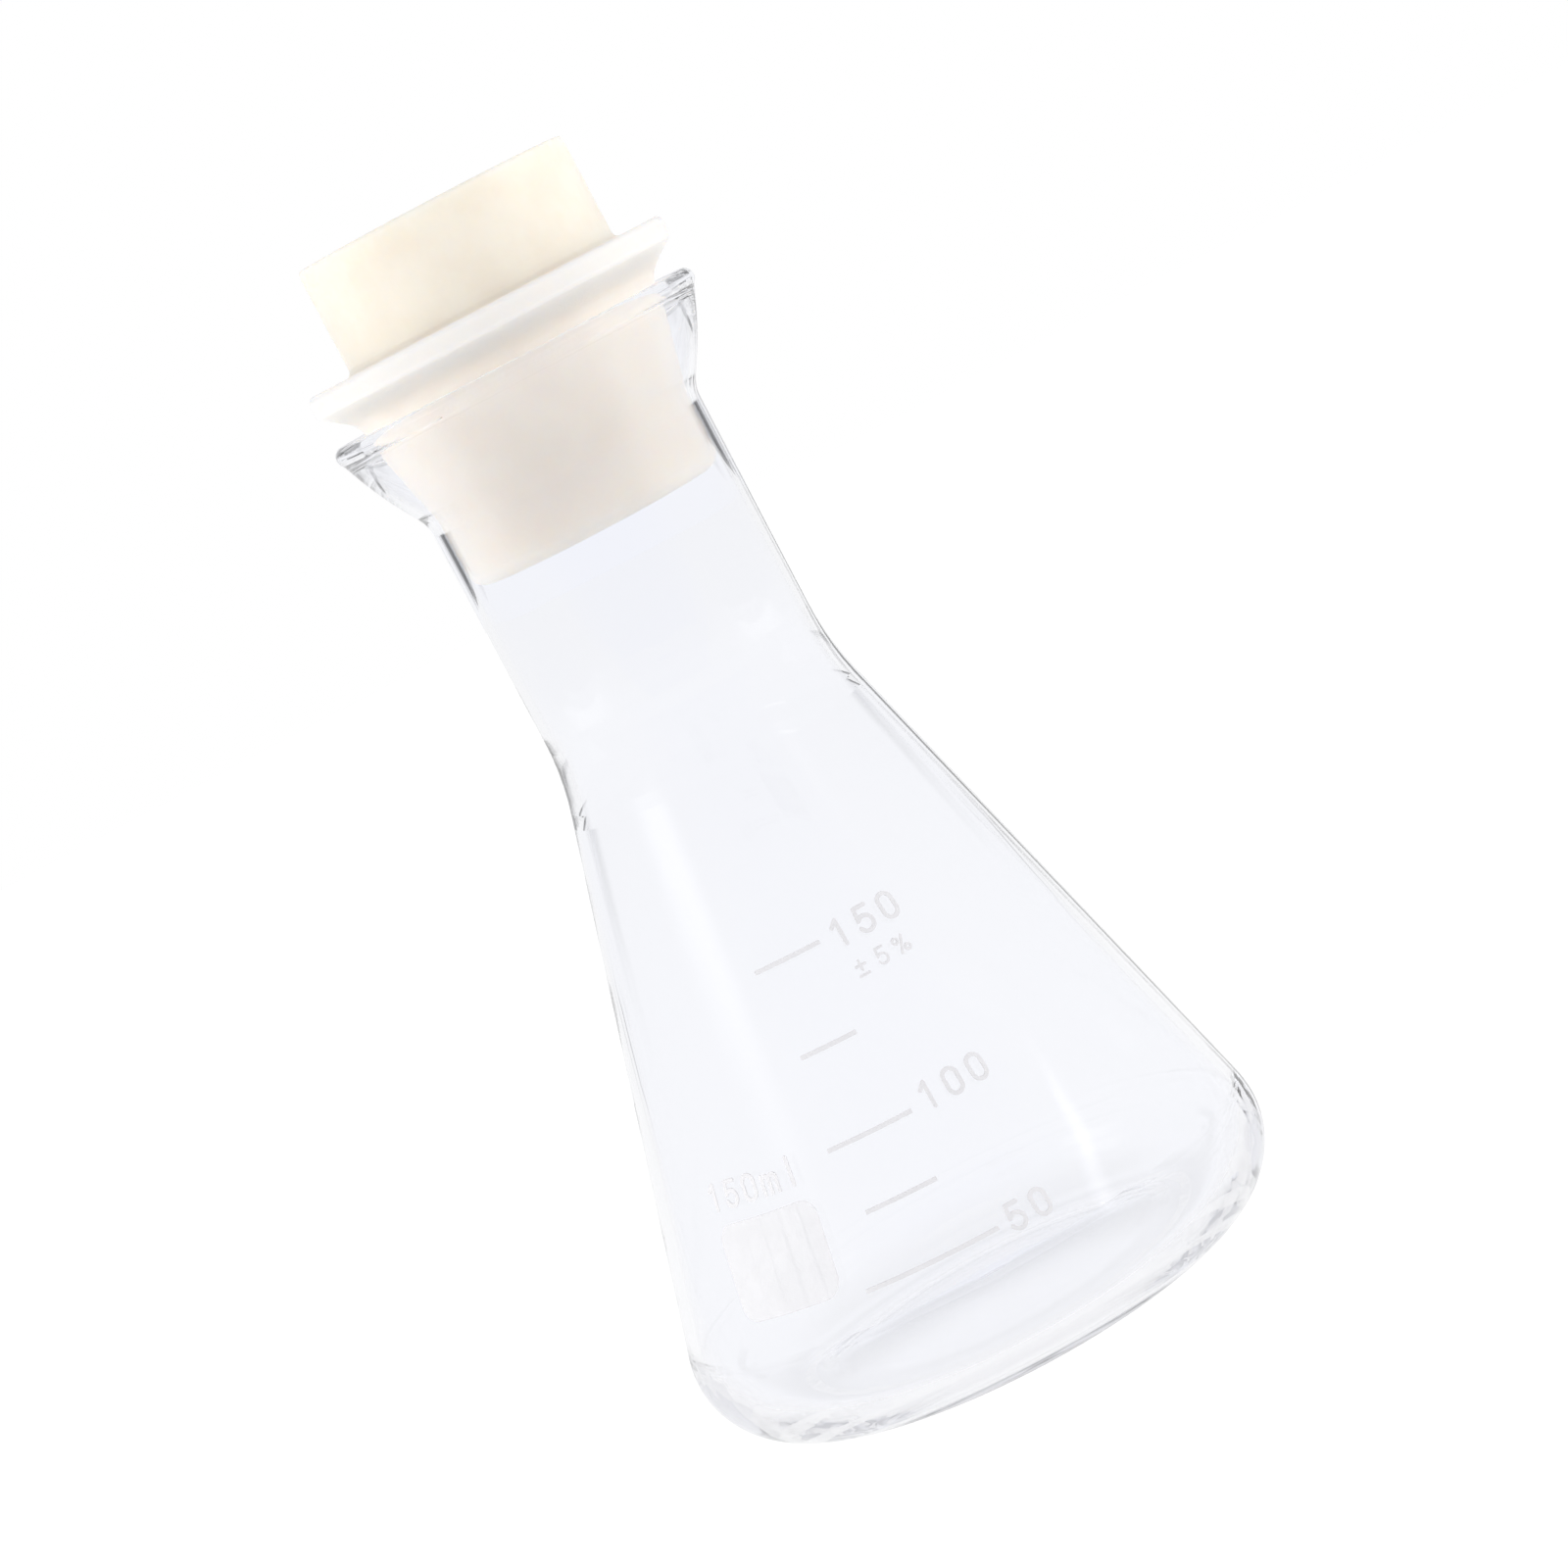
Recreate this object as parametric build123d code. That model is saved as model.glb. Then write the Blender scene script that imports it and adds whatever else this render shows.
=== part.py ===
"""Conical flask of borosilicate glass, 150 ml, closed with a silicone stopper.

Millimetres, +Z up. The origin is the centre of the ring that the flask stands on. The printed scale faces -Y.
Every outline is drawn as (radius, height) points and turned about the Z axis.
"""
from build123d import *
import os
from math import cos, degrees, radians, sin, tan

# ---- flask: body ----
BODY_DIAMETER = 75.7
CONE_ANGLE = radians(15.8)
HEEL_RADIUS = 10.9
HEEL_RADIUS_INSIDE = 9.0
CONE_WALL = 1.5
# (height of the flat ring, radius inside the ring, rise of the dome)
BASE_OUTSIDE = (0.0, 24.0, 2.4)
BASE_INSIDE = (3.0, 22.5, 2.2)
DOME_BLEND = 14.0

# ---- flask: neck and flared mouth ----
NECK_RADIUS = 17.75
NECK_WALL = 1.0
SHOULDER_BLEND = 35.0
FLARE_ROOT = 117.2
FLARE_BLEND = 5.0
FLARE_MIDDLE = (20.45, 121.6)
FLARE_TILT = radians(28.0)
RIM_CENTRE = (22.5, 128.85)
RIM_RADIUS = 1.25
RIM_SEAMS = (radians(-50), radians(222))
RIM_BLEND_OUTSIDE = 0.8
RIM_BLEND_INSIDE = 2.0

# ---- stopper ----
PLUG_FOOT = (16.35, 107.9)
PLUG_FOOT_BLEND = 1.8
PLUG_WAIST = (16.55, 117.0)
PLUG_WAIST_BLEND = 10.0
PLUG_THROAT = (19.55, 131.3)
PLUG_THROAT_BLEND = 3.0
FLANGE_RADIUS = 23.45
FLANGE_HEIGHTS = (134.25, 136.85)
FLANGE_BLEND = 0.7
GRIP_RADIUS = 17.45
GRIP_TOP = 150.4
GRIP_ROOT_BLEND = 0.8
GRIP_TOP_BLEND = 0.5

# ---- fired enamel: azimuths are in degrees, counted from -Y towards +X ----
AZIMUTH_OF_X = 90
ENAMEL_THICKNESS = 0.12
ENAMEL_BAND = (15.0, 60.0)
LINE_WIDTH = 0.5
GRADUATIONS = {
    # millilitres: (height, first azimuth, last azimuth)
    150: (55.45, -18.5, 0.2),
    125: (44.8, -16.2, -2.0),
    100: (34.3, -18.9, 0.7),
    75: (26.5, -16.5, -1.2),
    50: (18.6, -22.4, 4.6),
}
NUMERALS = {
    # text: (height, azimuth) of its middle
    "150": (55.3, 13.0),
    "100": (35.0, 11.1),
    "50": (18.8, 10.9),
}
NUMERAL_SIZE = 3.4
NUMERAL_PITCH = 3.25
TOLERANCE = ("±5%", (50.8, 12.0))
TOLERANCE_SIZE = 2.2
TOLERANCE_PITCH = 2.7
TOLERANCE_STROKE = 0.3
CAPACITY = ("150ml", (33.8, -39.6))
CAPACITY_SIZE = 3.3
CAPACITY_PITCH = 3.05
STROKE = 0.5
PATCH_SIZE = (15.0, 11.3)
PATCH_CORNER = 2.2
PATCH_PLACE = (24.9, -38.9)

# The pen strokes of each character, in digit heights from the middle of a digit.
# Two points are a straight stroke and three are an arc from the first through the second to the third.
STROKES = {
    "0": [
        ((-0.29, 0.18), (0, 0.5), (0.29, 0.18)),
        ((0.29, 0.18), (0.29, -0.18)),
        ((0.29, -0.18), (0, -0.5), (-0.29, -0.18)),
        ((-0.29, -0.18), (-0.29, 0.18)),
    ],
    "1": [((-0.2, 0.27), (0.05, 0.5)), ((0.05, 0.5), (0.05, -0.5))],
    "5": [
        ((0.27, 0.5), (-0.2, 0.5)),
        ((-0.2, 0.5), (-0.26, 0)),
        ((-0.26, 0), (0.3, -0.2), (-0.3, -0.3)),
    ],
    "m": [
        ((-0.36, -0.5), (-0.36, 0.22)),
        ((-0.36, 0.04), (-0.18, 0.22), (0, 0.04)),
        ((0, 0.04), (0, -0.5)),
        ((0, 0.04), (0.18, 0.22), (0.36, 0.04)),
        ((0.36, 0.04), (0.36, -0.5)),
    ],
    "l": [((0, -0.5), (0, 0.6))],
    "±": [((0, 0.4), (0, -0.2)), ((-0.3, 0.1), (0.3, 0.1)), ((-0.3, -0.5), (0.3, -0.5))],
    "%": [
        ((-0.25, -0.5), (0.25, 0.5)),
        ((-0.45, 0.3), (-0.28, 0.47), (-0.11, 0.3)),
        ((-0.45, 0.3), (-0.28, 0.13), (-0.11, 0.3)),
        ((0.11, -0.3), (0.28, -0.13), (0.45, -0.3)),
        ((0.11, -0.3), (0.28, -0.47), (0.45, -0.3)),
    ],
}

# The cone's outside, carried on straight, would meet the ground at this radius.
CONE_FOOT = BODY_DIAMETER / 2 - HEEL_RADIUS + HEEL_RADIUS * (tan(CONE_ANGLE) + 1 / cos(CONE_ANGLE))


def cone_radius(height):
    """Radius of the cone's outside at a height."""
    return CONE_FOOT - height * tan(CONE_ANGLE)


def outline(*edges):
    """The flat face inside edges that join end to end."""
    return make_face(Curve() + list(edges))


def blended(face, corner, radius):
    """The face with the corner nearest to a (radius, height) point rounded off."""
    return fillet(face.vertices().sort_by_distance(corner)[0], radius)


def lathe(face, turn=360):
    """The solid that a (radius, height) face makes when it turns about the Z axis, starting at +X."""
    return revolve(Plane.XZ * face, Axis.Z, turn)


def rim_point(angle):
    """The (radius, height) point of the round rim at an angle counted from straight outwards."""
    return (RIM_CENTRE[0] + RIM_RADIUS * cos(angle), RIM_CENTRE[1] + RIM_RADIUS * sin(angle))


def vessel_side(cone_wall, neck_wall, base, heel_blend, seam):
    """One side of the glass, moved in by its walls: its edges from the axis to the rim, and its blends.

    The base is given as the height of its flat ring, the radius inside the ring, and the rise of its dome.
    """
    ring_height, ring_radius, rise = base
    crown = (0, ring_height + rise)
    ring = (ring_radius, ring_height)
    foot = CONE_FOOT - cone_wall / cos(CONE_ANGLE)
    neck = NECK_RADIUS - neck_wall
    shoulder = (neck, (foot - neck) / tan(CONE_ANGLE))
    heel = (foot - ring_height * tan(CONE_ANGLE), ring_height)
    root = (neck, FLARE_ROOT + neck_wall * tan(FLARE_TILT / 2))
    middle = (FLARE_MIDDLE[0] - neck_wall * cos(FLARE_TILT), FLARE_MIDDLE[1] + neck_wall * sin(FLARE_TILT))
    edges = [
        TangentArc(crown, ring, tangent=(1, 0)),
        Polyline(ring, heel, shoulder, root),
        ThreePointArc(root, middle, seam),
    ]
    blends = [(ring, DOME_BLEND), (heel, heel_blend), (shoulder, SHOULDER_BLEND), (root, FLARE_BLEND)]
    return edges, blends


def flask_body():
    """One piece of glass: pushed-up base, round heel, cone, neck and flared mouth with a fire-polished rim."""
    outer_seam, inner_seam = (rim_point(angle) for angle in RIM_SEAMS)
    outside, outside_blends = vessel_side(0, 0, BASE_OUTSIDE, HEEL_RADIUS, outer_seam)
    inside, inside_blends = vessel_side(CONE_WALL, NECK_WALL, BASE_INSIDE, HEEL_RADIUS_INSIDE, inner_seam)
    rim = ThreePointArc(outer_seam, rim_point(radians(90)), inner_seam)
    axis = Line((0, BASE_OUTSIDE[0] + BASE_OUTSIDE[2]), (0, BASE_INSIDE[0] + BASE_INSIDE[2]))
    face = outline(*outside, rim, *inside, axis)
    for corner, radius in outside_blends + inside_blends:
        face = blended(face, corner, radius)
    face = blended(face, outer_seam, RIM_BLEND_OUTSIDE)
    face = blended(face, inner_seam, RIM_BLEND_INSIDE)
    return lathe(face)


def stopper():
    """One piece of silicone: grip, flange with a sloping underside, and a plug that narrows into the neck."""
    flange_underside = (FLANGE_RADIUS, FLANGE_HEIGHTS[0])
    flange_top = (FLANGE_RADIUS, FLANGE_HEIGHTS[1])
    grip_root = (GRIP_RADIUS, FLANGE_HEIGHTS[1])
    grip_edge = (GRIP_RADIUS, GRIP_TOP)
    face = outline(
        Polyline(
            (0, PLUG_FOOT[1]),
            PLUG_FOOT,
            PLUG_WAIST,
            PLUG_THROAT,
            flange_underside,
            flange_top,
            grip_root,
            grip_edge,
            (0, GRIP_TOP),
            close=True,
        )
    )
    blends = (
        (PLUG_FOOT, PLUG_FOOT_BLEND),
        (PLUG_WAIST, PLUG_WAIST_BLEND),
        (PLUG_THROAT, PLUG_THROAT_BLEND),
        (flange_underside, FLANGE_BLEND),
        (flange_top, FLANGE_BLEND),
        (grip_root, GRIP_ROOT_BLEND),
        (grip_edge, GRIP_TOP_BLEND),
    )
    for corner, radius in blends:
        face = blended(face, corner, radius)
    return lathe(face)


def skin(low, high, turn=360):
    """A layer as thick as the enamel over the cone's outside, between two heights, starting at +X."""
    face = outline(
        Polyline(
            (cone_radius(low), low),
            (cone_radius(low) + ENAMEL_THICKNESS, low),
            (cone_radius(high) + ENAMEL_THICKNESS, high),
            (cone_radius(high), high),
            close=True,
        )
    )
    return lathe(face, turn)


def facing(height, azimuth):
    """The upright plane that touches the cone at a height and azimuth, with its normal pointing away."""
    angle = radians(azimuth)
    outward = Vector(sin(angle), -cos(angle), 0)
    return Plane(
        origin=outward * cone_radius(height) + Vector(0, 0, height),
        x_dir=(cos(angle), sin(angle), 0),
        z_dir=outward,
    )


def printed(drawing, height, azimuth):
    """A flat drawing laid on the cone as a layer of enamel."""
    size = drawing.bounding_box().size
    reach = size.X + size.Y
    stamp = extrude(facing(height, azimuth) * drawing, reach, both=True)
    return stamp & skin(max(ENAMEL_BAND[0], height - size.Y), min(ENAMEL_BAND[1], height + size.Y))


def stroke(points, size, width):
    """One pen stroke with round ends."""
    ends = [(x * size, y * size) for x, y in points]
    path = Line(*ends) if len(ends) == 2 else ThreePointArc(*ends)
    return SlotArc(path, width)


def lettering(text, place, size, pitch, width):
    """Evenly spaced enamel characters with digits as high as size, centred on a (height, azimuth) place."""
    height, azimuth = place
    step = degrees(pitch / cone_radius(height))
    start = azimuth - step * (len(text) - 1) / 2
    letters = []
    for i, character in enumerate(text):
        drawing = Sketch() + [stroke(points, size - width, width) for points in STROKES[character]]
        letters += printed(drawing, height, start + step * i).solids()
    return Compound(letters)


def graduation_lines():
    """The five lines of the scale, each an arc around the cone."""
    lines = []
    for height, first, last in GRADUATIONS.values():
        arc = skin(height - LINE_WIDTH / 2, height + LINE_WIDTH / 2, last - first)
        lines.append(Rot(0, 0, first - AZIMUTH_OF_X) * arc)
    return Compound(lines)


def graduation_numerals():
    """The numbers beside the three long lines."""
    numbers = [
        lettering(text, place, NUMERAL_SIZE, NUMERAL_PITCH, STROKE) for text, place in NUMERALS.items()
    ]
    return Compound([letter for number in numbers for letter in number.solids()])


def writing_patch():
    """The matt field that takes a pencil, a square with round corners."""
    return printed(RectangleRounded(*PATCH_SIZE, PATCH_CORNER), *PATCH_PLACE)


nodes = {
    "flask_body": flask_body(),
    "stopper": stopper(),
    "graduation_lines": graduation_lines(),
    "graduation_numerals": graduation_numerals(),
    "tolerance_mark": lettering(*TOLERANCE, TOLERANCE_SIZE, TOLERANCE_PITCH, TOLERANCE_STROKE),
    "capacity_mark": lettering(*CAPACITY, CAPACITY_SIZE, CAPACITY_PITCH, STROKE),
    "writing_patch": writing_patch(),
}
os.makedirs("parts", exist_ok=True)
for name, shape in nodes.items():
    export_step(shape, f"parts/{name}.step")
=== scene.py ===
"""Looks, light and camera for the stoppered conical flask. Metres, +Z up, the printed scale facing -Y."""

import math

import bpy
from mathutils import Matrix, Vector


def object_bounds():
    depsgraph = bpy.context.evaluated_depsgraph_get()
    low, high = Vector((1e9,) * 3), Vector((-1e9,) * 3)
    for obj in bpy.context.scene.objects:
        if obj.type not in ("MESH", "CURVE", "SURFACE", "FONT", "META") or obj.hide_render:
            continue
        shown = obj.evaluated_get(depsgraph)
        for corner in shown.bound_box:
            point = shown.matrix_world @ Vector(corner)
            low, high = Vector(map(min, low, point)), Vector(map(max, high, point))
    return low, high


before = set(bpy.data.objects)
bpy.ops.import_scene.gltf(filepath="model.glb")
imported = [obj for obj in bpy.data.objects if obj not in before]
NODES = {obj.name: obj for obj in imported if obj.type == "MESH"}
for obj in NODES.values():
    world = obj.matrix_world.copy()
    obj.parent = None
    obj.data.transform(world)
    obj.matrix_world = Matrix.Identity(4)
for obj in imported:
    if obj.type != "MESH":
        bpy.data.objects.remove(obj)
CAD_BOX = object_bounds()


# ---- nodes and materials ----
class Tree:
    """A node tree that is written down from left to right."""

    def __init__(self, tree):
        self.tree = tree
        tree.nodes.clear()

    def add(self, kind, **settings):
        """A new node. Settings are its own properties, or its inputs by name with _ for a space."""
        node = self.tree.nodes.new(kind)
        for name, value in settings.items():
            label = name.replace("_", " ")
            if hasattr(node, name):
                setattr(node, name, value)
            elif isinstance(value, bpy.types.NodeSocket):
                self.tree.links.new(value, node.inputs[label])
            else:
                node.inputs[label].default_value = value
        return node

    def join(self, source, target):
        """A link from an output to an input."""
        self.tree.links.new(source, target)


def material(name):
    """A new material and its empty tree."""
    made = bpy.data.materials.new(name)
    made.use_nodes = True
    return made, Tree(made.node_tree)


def finish_with(tree, shader):
    """Makes the shader the surface of the tree's material."""
    output = tree.add("ShaderNodeOutputMaterial")
    tree.join(shader, output.inputs["Surface"])


def noise(tree, size, detail=2.0):
    """Soft random values whose lumps are about size metres across."""
    place = tree.add("ShaderNodeTexCoord").outputs["Object"]
    spread = tree.add("ShaderNodeMapping", Vector=place, Scale=(1 / size, 1 / size, 1 / size))
    made = tree.add("ShaderNodeTexNoise", Vector=spread.outputs[0], Scale=1.0, Detail=detail)
    return made.outputs["Fac"]


def bump(tree, height, depth, below=None):
    """Normals of a surface that rises by depth metres where height is 1, on top of the bumps below."""
    made = tree.add("ShaderNodeBump", Height=height, Distance=depth)
    if below is not None:
        tree.join(below, made.inputs["Normal"])
    return made.outputs[0]


def between(tree, value, low, high, to_low=0.0, to_high=1.0):
    """The value carried smoothly from low..high to to_low..to_high."""
    made = tree.add(
        "ShaderNodeMapRange",
        interpolation_type="SMOOTHSTEP",
        Value=value,
        From_Min=low,
        From_Max=high,
        To_Min=to_low,
        To_Max=to_high,
    )
    return made.outputs[0]


def blend(tree, factor, first, second):
    """The first colour where factor is 0 and the second where it is 1."""
    made = tree.add("ShaderNodeMix", data_type="RGBA")
    tree.join(factor, made.inputs["Factor"])
    # A Mix node has sockets of the same names for each type of data: these are the ones for colours.
    first_socket, second_socket, result = made.inputs[6], made.inputs[7], made.outputs[2]
    for socket, colour in ((first_socket, first), (second_socket, second)):
        if isinstance(colour, bpy.types.NodeSocket):
            tree.join(colour, socket)
        else:
            socket.default_value = (*colour, 1)
    return result


WHITE = (1, 1, 1, 1)
# Most values of a noise lie between these.
NOISE_RANGE = (0.3, 0.7)

# ---- glass ----
GLASS_TINT = (0.980, 0.984, 1.0, 1)
GLASS_IOR = 1.473
WAVE_SIZE = 0.012
WAVE_DEPTH = 0.00002
# For each metre of its way, light is absorbed at the density times what the tint lacks of white.
ABSORPTION_TINT = (0.5, 0.5, 0.56, 1)
ABSORPTION_DENSITY = 4.5


def clear_glass():
    """Borosilicate glass, a little wavy as blown glass is, that absorbs light on a long way through."""
    made, tree = material("borosilicate_glass")
    waves = bump(tree, noise(tree, WAVE_SIZE, detail=1.0), WAVE_DEPTH)
    glass = tree.add(
        "ShaderNodeBsdfPrincipled",
        Base_Color=GLASS_TINT,
        Roughness=0.0,
        IOR=GLASS_IOR,
        Transmission_Weight=1.0,
        Normal=waves,
    )
    clear = tree.add("ShaderNodeBsdfTransparent", Color=WHITE)
    path = tree.add("ShaderNodeLightPath")
    mix = tree.add("ShaderNodeMixShader")
    tree.join(path.outputs["Is Shadow Ray"], mix.inputs[0])
    tree.join(glass.outputs[0], mix.inputs[1])
    tree.join(clear.outputs[0], mix.inputs[2])
    body = tree.add("ShaderNodeVolumeAbsorption", Color=ABSORPTION_TINT, Density=ABSORPTION_DENSITY)
    output = tree.add("ShaderNodeOutputMaterial")
    tree.join(mix.outputs[0], output.inputs["Surface"])
    tree.join(body.outputs[0], output.inputs["Volume"])
    return made


# ---- silicone ----
# Distances from the axis over which the flange turns paler: painted light, a paler tone that stands in for
# light shining through the thin flange and off its rim.
FLANGE_PAINTED_LIGHT_REACH = (0.0190, 0.0225)
# Heights over which the plug's colour, painted lighter than the grip's as painted light for the light the
# glass around it takes away, turns into the grip's.
PLUG_PAINTED_LIGHT_ENDS = (0.128, 0.137)
# Two shades each, which the mottling mixes. The plug's are painted lighter than the grip's: painted light
# for the light the glass around the plug takes away.
PLUG_PAINTED_LIGHT_IVORIES = ((0.875, 0.815, 0.730), (0.860, 0.795, 0.710))
GRIP_IVORIES = ((0.780, 0.735, 0.640), (0.760, 0.705, 0.605))
# A paler, less yellow tone painted on the flange's rim: painted light for light through and off the thin
# flange.
FLANGE_PAINTED_PALE = (0.70, 0.685, 0.66)
SILICONE_IOR = 1.41
SILICONE_ROUGHNESS = (0.42, 0.52)
MOTTLE_SIZE = 0.006
MOTTLE_RANGE = (0.35, 0.65)
MATT_SIZE = 0.002
GRAIN_SIZE = 0.0004
GRAIN_DEPTH = 0.00003
LUMP_SIZE = 0.004
LUMP_DEPTH = 0.00006
# How far light wanders under the surface, in metres, and the share of it for red, green and blue.
WANDER = 0.005
WANDER_BY_COLOUR = (1.0, 0.85, 0.65)


def silicone():
    """Ivory silicone rubber, mottled and finely grained. Painted light: the plug is painted lighter than the
    grip, which is darker and yellower, to make up for the light the glass around the plug takes away; and
    the flange is painted paler towards its rim, for light shining through and off the thin flange.
    """
    made, tree = material("ivory_silicone")
    place = tree.add("ShaderNodeTexCoord").outputs["Object"]
    across = tree.add("ShaderNodeVectorMath", operation="MULTIPLY")
    tree.join(place, across.inputs[0])
    across.inputs[1].default_value = (1, 1, 0)
    reach = tree.add("ShaderNodeVectorMath", operation="LENGTH")
    tree.join(across.outputs[0], reach.inputs[0])
    height = tree.add("ShaderNodeSeparateXYZ", Vector=place).outputs["Z"]
    mottle = between(tree, noise(tree, MOTTLE_SIZE, detail=3.0), *MOTTLE_RANGE)
    plug = blend(tree, mottle, *PLUG_PAINTED_LIGHT_IVORIES)
    grip = blend(tree, mottle, *GRIP_IVORIES)
    # Painted light: the plug is painted lighter than the grip, where the glass around it takes light away.
    ivory = blend(tree, between(tree, height, *PLUG_PAINTED_LIGHT_ENDS), plug, grip)
    # Painted light: the flange's rim is painted a paler tone, for light through and off its thin edge.
    colour = blend(tree, between(tree, reach.outputs["Value"], *FLANGE_PAINTED_LIGHT_REACH), ivory, FLANGE_PAINTED_PALE)
    grain = bump(tree, noise(tree, GRAIN_SIZE), GRAIN_DEPTH)
    lumps = bump(tree, noise(tree, LUMP_SIZE, detail=1.0), LUMP_DEPTH, below=grain)
    matt = between(tree, noise(tree, MATT_SIZE), *NOISE_RANGE, *SILICONE_ROUGHNESS)
    shader = tree.add(
        "ShaderNodeBsdfPrincipled",
        Base_Color=colour,
        Roughness=matt,
        IOR=SILICONE_IOR,
        Subsurface_Weight=1.0,
        Subsurface_Radius=WANDER_BY_COLOUR,
        Subsurface_Scale=WANDER,
        Sheen_Weight=0.3,
        Sheen_Roughness=0.5,
        Normal=lumps,
    )
    finish_with(tree, shader.outputs[0])
    return made


# ---- enamel ----
ENAMEL_GREY = (0.68, 0.67, 0.67)
THIN_ENAMEL_GREY = (0.80, 0.79, 0.79)
ENAMEL_GRAIN_SIZE = 0.00025
ENAMEL_GRAIN_DEPTH = 0.00002
ROUGHNESS_EITHER_WAY = 0.08
WEAR_SIZE = 0.003
WORN_BRIGHTNESS = 0.96


def enamel(name, colour, roughness, cover):
    """Fired enamel: a thin grainy layer that lets 1 - cover of the light through."""
    made, tree = material(name)
    grain = noise(tree, ENAMEL_GRAIN_SIZE)
    worn = between(tree, noise(tree, WEAR_SIZE, detail=3.0), *NOISE_RANGE)
    smoothest, roughest = roughness - ROUGHNESS_EITHER_WAY, roughness + ROUGHNESS_EITHER_WAY
    shader = tree.add(
        "ShaderNodeBsdfPrincipled",
        Base_Color=blend(tree, worn, colour, [WORN_BRIGHTNESS * part for part in colour]),
        Roughness=between(tree, grain, *NOISE_RANGE, smoothest, roughest),
        Alpha=cover,
        Normal=bump(tree, grain, ENAMEL_GRAIN_DEPTH),
    )
    finish_with(tree, shader.outputs[0])
    return made


def dress(node, made):
    """Puts the material in the node's only slot."""
    mesh = NODES[node].data
    mesh.materials.clear()
    mesh.materials.append(made)


scale_enamel = enamel("fired_enamel", ENAMEL_GREY, roughness=0.45, cover=1.0)
dress("flask_body", clear_glass())
dress("stopper", silicone())
for mark in ("graduation_lines", "graduation_numerals", "tolerance_mark"):
    dress(mark, scale_enamel)
dress("capacity_mark", enamel("thin_enamel", THIN_ENAMEL_GREY, roughness=0.45, cover=0.8))
dress("writing_patch", enamel("writing_enamel", THIN_ENAMEL_GREY, roughness=0.75, cover=0.45))


# ---- studio ----
# The white table the flask stands on: x of its left and right edges, y of its front and back edges.
FLOOR_EDGES = (-1.7, 1.7, -0.9, 1.65)
FLOOR_PAINT = (0.20, 0.20, 0.20, 1)
# Light that the table gives off by itself: to the flask, and straight to the camera.
FLOOR_GLOW = 0.805
FLOOR_GLOW_SEEN = 0.97


def studio_floor():
    """The white table, a flat sheet at the height of the flask's foot."""
    left, right, front, back = FLOOR_EDGES
    mesh = bpy.data.meshes.new("floor")
    corners = [(left, front, 0), (right, front, 0), (right, back, 0), (left, back, 0)]
    mesh.from_pydata(corners, [], [(0, 1, 2, 3)])
    floor = bpy.data.objects.new("floor", mesh)
    bpy.context.collection.objects.link(floor)
    made, tree = material("white_floor")
    paint = tree.add("ShaderNodeBsdfDiffuse", Color=FLOOR_PAINT)
    path = tree.add("ShaderNodeLightPath")
    seen = between(tree, path.outputs["Is Camera Ray"], 0.0, 1.0, FLOOR_GLOW, FLOOR_GLOW_SEEN)
    glow = tree.add("ShaderNodeEmission", Color=WHITE, Strength=seen)
    both = tree.add("ShaderNodeAddShader")
    tree.join(paint.outputs[0], both.inputs[0])
    tree.join(glow.outputs[0], both.inputs[1])
    finish_with(tree, both.outputs[0])
    mesh.materials.append(made)


# A direction is an azimuth and an elevation in degrees, seen from the flask. Azimuth 0 is +Y, behind the
# flask, and 90 is +X. A panel or gap is its direction, its half width and half height, its softness across
# and up, and the brightness it adds. The panels are what shines on the cone.
PANELS = [
    ((-114, 24.5), (5, 4.0), (14, 6), 0.9),
    ((126, 26), (2, 2), (8, 4), 0.45),
    ((125, 15.3), (4, 0.1), (8, 0.6), 1.0),
]
# The gaps take brightness away: on either side one below the horizon, past the table's back edge, and one
# above it, and a wide faint one straight behind.
GAP_AZIMUTH = 38
GAPS = [((side * GAP_AZIMUTH, -2.8), (9, 1.0), (4.5, 1.0), -0.84) for side in (-1, 1)]
GAPS += [((side * GAP_AZIMUTH, 10.0), (10, 4.0), (8, 2.0), -0.65) for side in (-1, 1)]
GAPS += [((0, 18), (16, 4), (16, 10), -0.30)]
# The walls' colours, and the y of the directions between which the front one turns into the back one.
BACK_WALL = (0.940, 0.945, 0.965)
FRONT_WALL = (0.85, 0.87, 0.98)
WALLS_TURN = (-0.98, -0.45)
# Elevations over which the walls dim towards the ceiling, and the brightness that is left there.
CEILING_DIMS = (35.0, 60.0)
CEILING_LEVEL = 0.3


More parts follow.
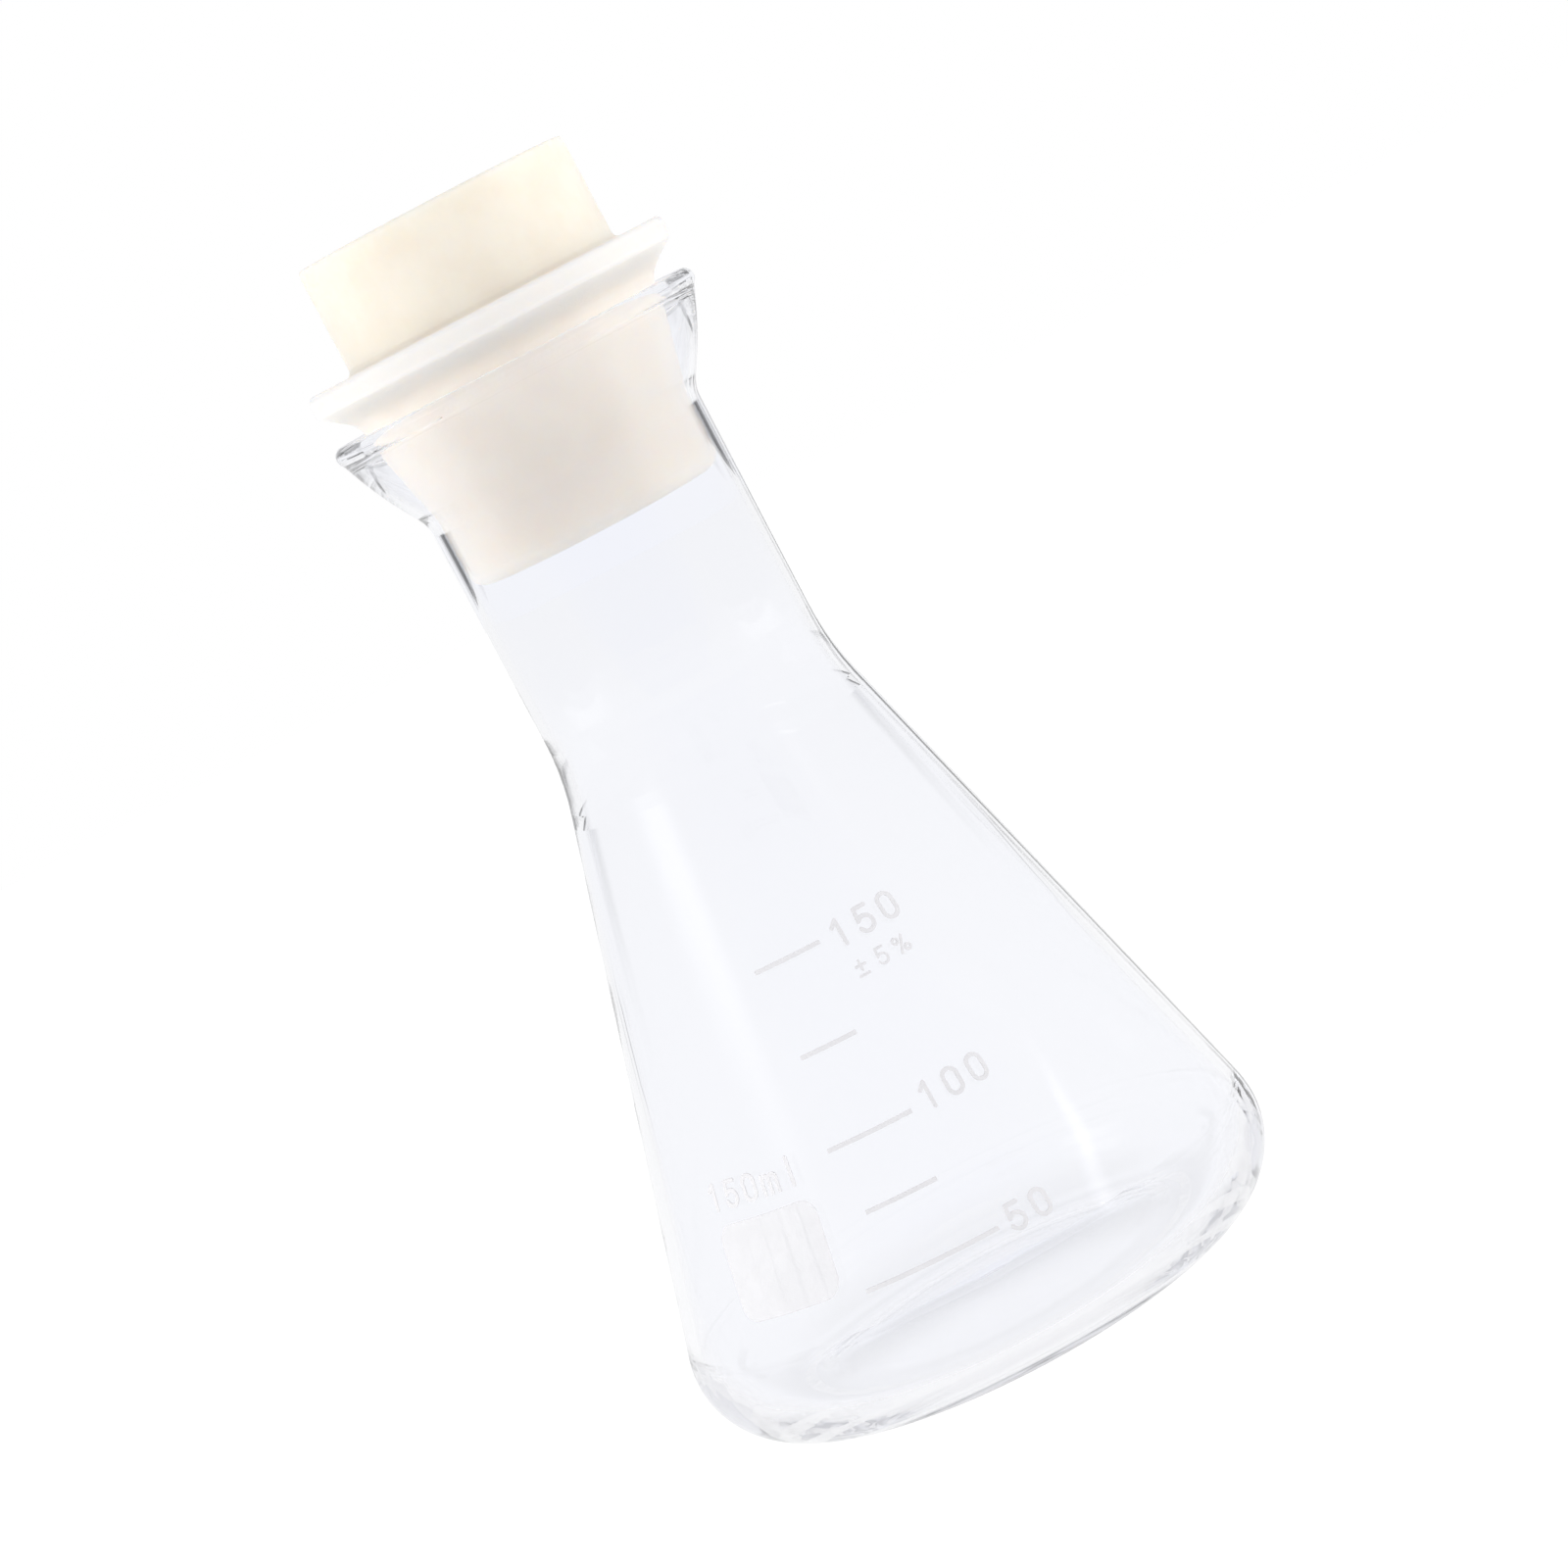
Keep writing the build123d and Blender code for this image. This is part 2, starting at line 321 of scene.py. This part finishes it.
def studio_air():
    """Pale walls that dim overhead, with bright panels and dark gaps. The camera itself sees white."""
    world = bpy.data.worlds.new("studio")
    bpy.context.scene.world = world
    world.use_nodes = True
    tree = Tree(world.node_tree)

    def calc(operation, *values):
        """The result of a Math node."""
        node = tree.add("ShaderNodeMath", operation=operation)
        for socket, value in zip(node.inputs, values):
            if isinstance(value, bpy.types.NodeSocket):
                tree.join(value, socket)
            else:
                socket.default_value = value
        return node.outputs[0]

    direction = tree.add("ShaderNodeTexCoord").outputs["Generated"]
    x, y, z = tree.add("ShaderNodeSeparateXYZ", Vector=direction).outputs
    azimuth = calc("DEGREES", calc("ARCTAN2", x, y))
    elevation = calc("DEGREES", calc("ARCSINE", z))
    walls = blend(tree, between(tree, y, *WALLS_TURN), FRONT_WALL, BACK_WALL)
    level = between(tree, elevation, *CEILING_DIMS, 1.0, CEILING_LEVEL)
    for (around, up), (half_width, half_height), (soft_across, soft_up), added in PANELS + GAPS:
        wide = calc("ABSOLUTE", calc("SUBTRACT", azimuth, around))
        high = calc("ABSOLUTE", calc("SUBTRACT", elevation, up))
        across = between(tree, wide, half_width, half_width + soft_across, 1.0, 0.0)
        upwards = between(tree, high, half_height, half_height + soft_up, 1.0, 0.0)
        level = calc("MULTIPLY_ADD", calc("MULTIPLY", across, upwards), added, level)
    light = tree.add("ShaderNodeBackground", Color=walls, Strength=level)
    backdrop = tree.add("ShaderNodeBackground", Color=WHITE, Strength=1.0)
    path = tree.add("ShaderNodeLightPath")
    mix = tree.add("ShaderNodeMixShader")
    tree.join(path.outputs["Is Camera Ray"], mix.inputs[0])
    tree.join(light.outputs[0], mix.inputs[1])
    tree.join(backdrop.outputs[0], mix.inputs[2])
    output = tree.add("ShaderNodeOutputWorld")
    tree.join(mix.outputs[0], output.inputs["Surface"])


def soft_box(name, place, aim, size, power):
    """A lamp that lights matt surfaces and doesn't show in the glass."""
    lamp = bpy.data.lights.new(name, "AREA")
    lamp.shape = "RECTANGLE"
    lamp.size, lamp.size_y = size
    lamp.energy = power
    box = bpy.data.objects.new(name, lamp)
    bpy.context.collection.objects.link(box)
    box.location = place
    box.rotation_mode = "QUATERNION"
    box.rotation_quaternion = (Vector(aim) - Vector(place)).to_track_quat("-Z", "Y")
    box.visible_glossy = False
    box.visible_transmission = False


# Places and sizes of the lamps in metres, and their power in watts. The two side ones are alike.
SIDE_BOX_PLACE = (1.0, -0.15, 0.25)
SIDE_BOX_SIZE = (0.7, 0.9)
SIDE_BOX_POWER = 6.8
FRONT_BOX_PLACE = (0.0, -1.1, 0.1)
FRONT_BOX_SIZE = (0.9, 0.7)
FRONT_BOX_POWER = 3.3

studio_floor()
studio_air()
middle = (CAD_BOX[0] + CAD_BOX[1]) / 2
x, y, z = SIDE_BOX_PLACE
for name, side in (("left_box", -1), ("right_box", 1)):
    soft_box(name, (side * x, y, z), middle, SIDE_BOX_SIZE, SIDE_BOX_POWER)
soft_box("front_box", FRONT_BOX_PLACE, middle, FRONT_BOX_SIZE, FRONT_BOX_POWER)

# ---- camera ----
# Fitted to the photograph, in which the flask leans to one side. The lens and the sensor are in millimetres.
EYE_DISTANCE = 0.553
EYE_HEIGHT = 0.137
LOOK_DOWN = math.radians(6.88)
LOOK_RIGHT = math.radians(0.53)
ROLL = math.radians(27.8)
LENS = 107.2
SENSOR_WIDTH = 36
# The glass needs many bounces: a ray at its edges goes through it over and over.
GLASS_BOUNCES = 48
GLOSSY_BOUNCES = 24

camera = bpy.data.cameras.new("camera")
camera.lens = LENS
camera.sensor_width = SENSOR_WIDTH
eye = bpy.data.objects.new("camera", camera)
bpy.context.collection.objects.link(eye)
place = Matrix.Translation((0, -EYE_DISTANCE, EYE_HEIGHT))
gaze = Matrix.Rotation(-LOOK_RIGHT, 4, "Z") @ Matrix.Rotation(math.radians(90) - LOOK_DOWN, 4, "X")
eye.matrix_world = place @ gaze @ Matrix.Rotation(-ROLL, 4, "Z")

scene = bpy.context.scene
scene.camera = eye
scene.view_settings.view_transform = "Standard"
scene.cycles.max_bounces = GLASS_BOUNCES
scene.cycles.transmission_bounces = GLASS_BOUNCES
scene.cycles.glossy_bounces = GLOSSY_BOUNCES
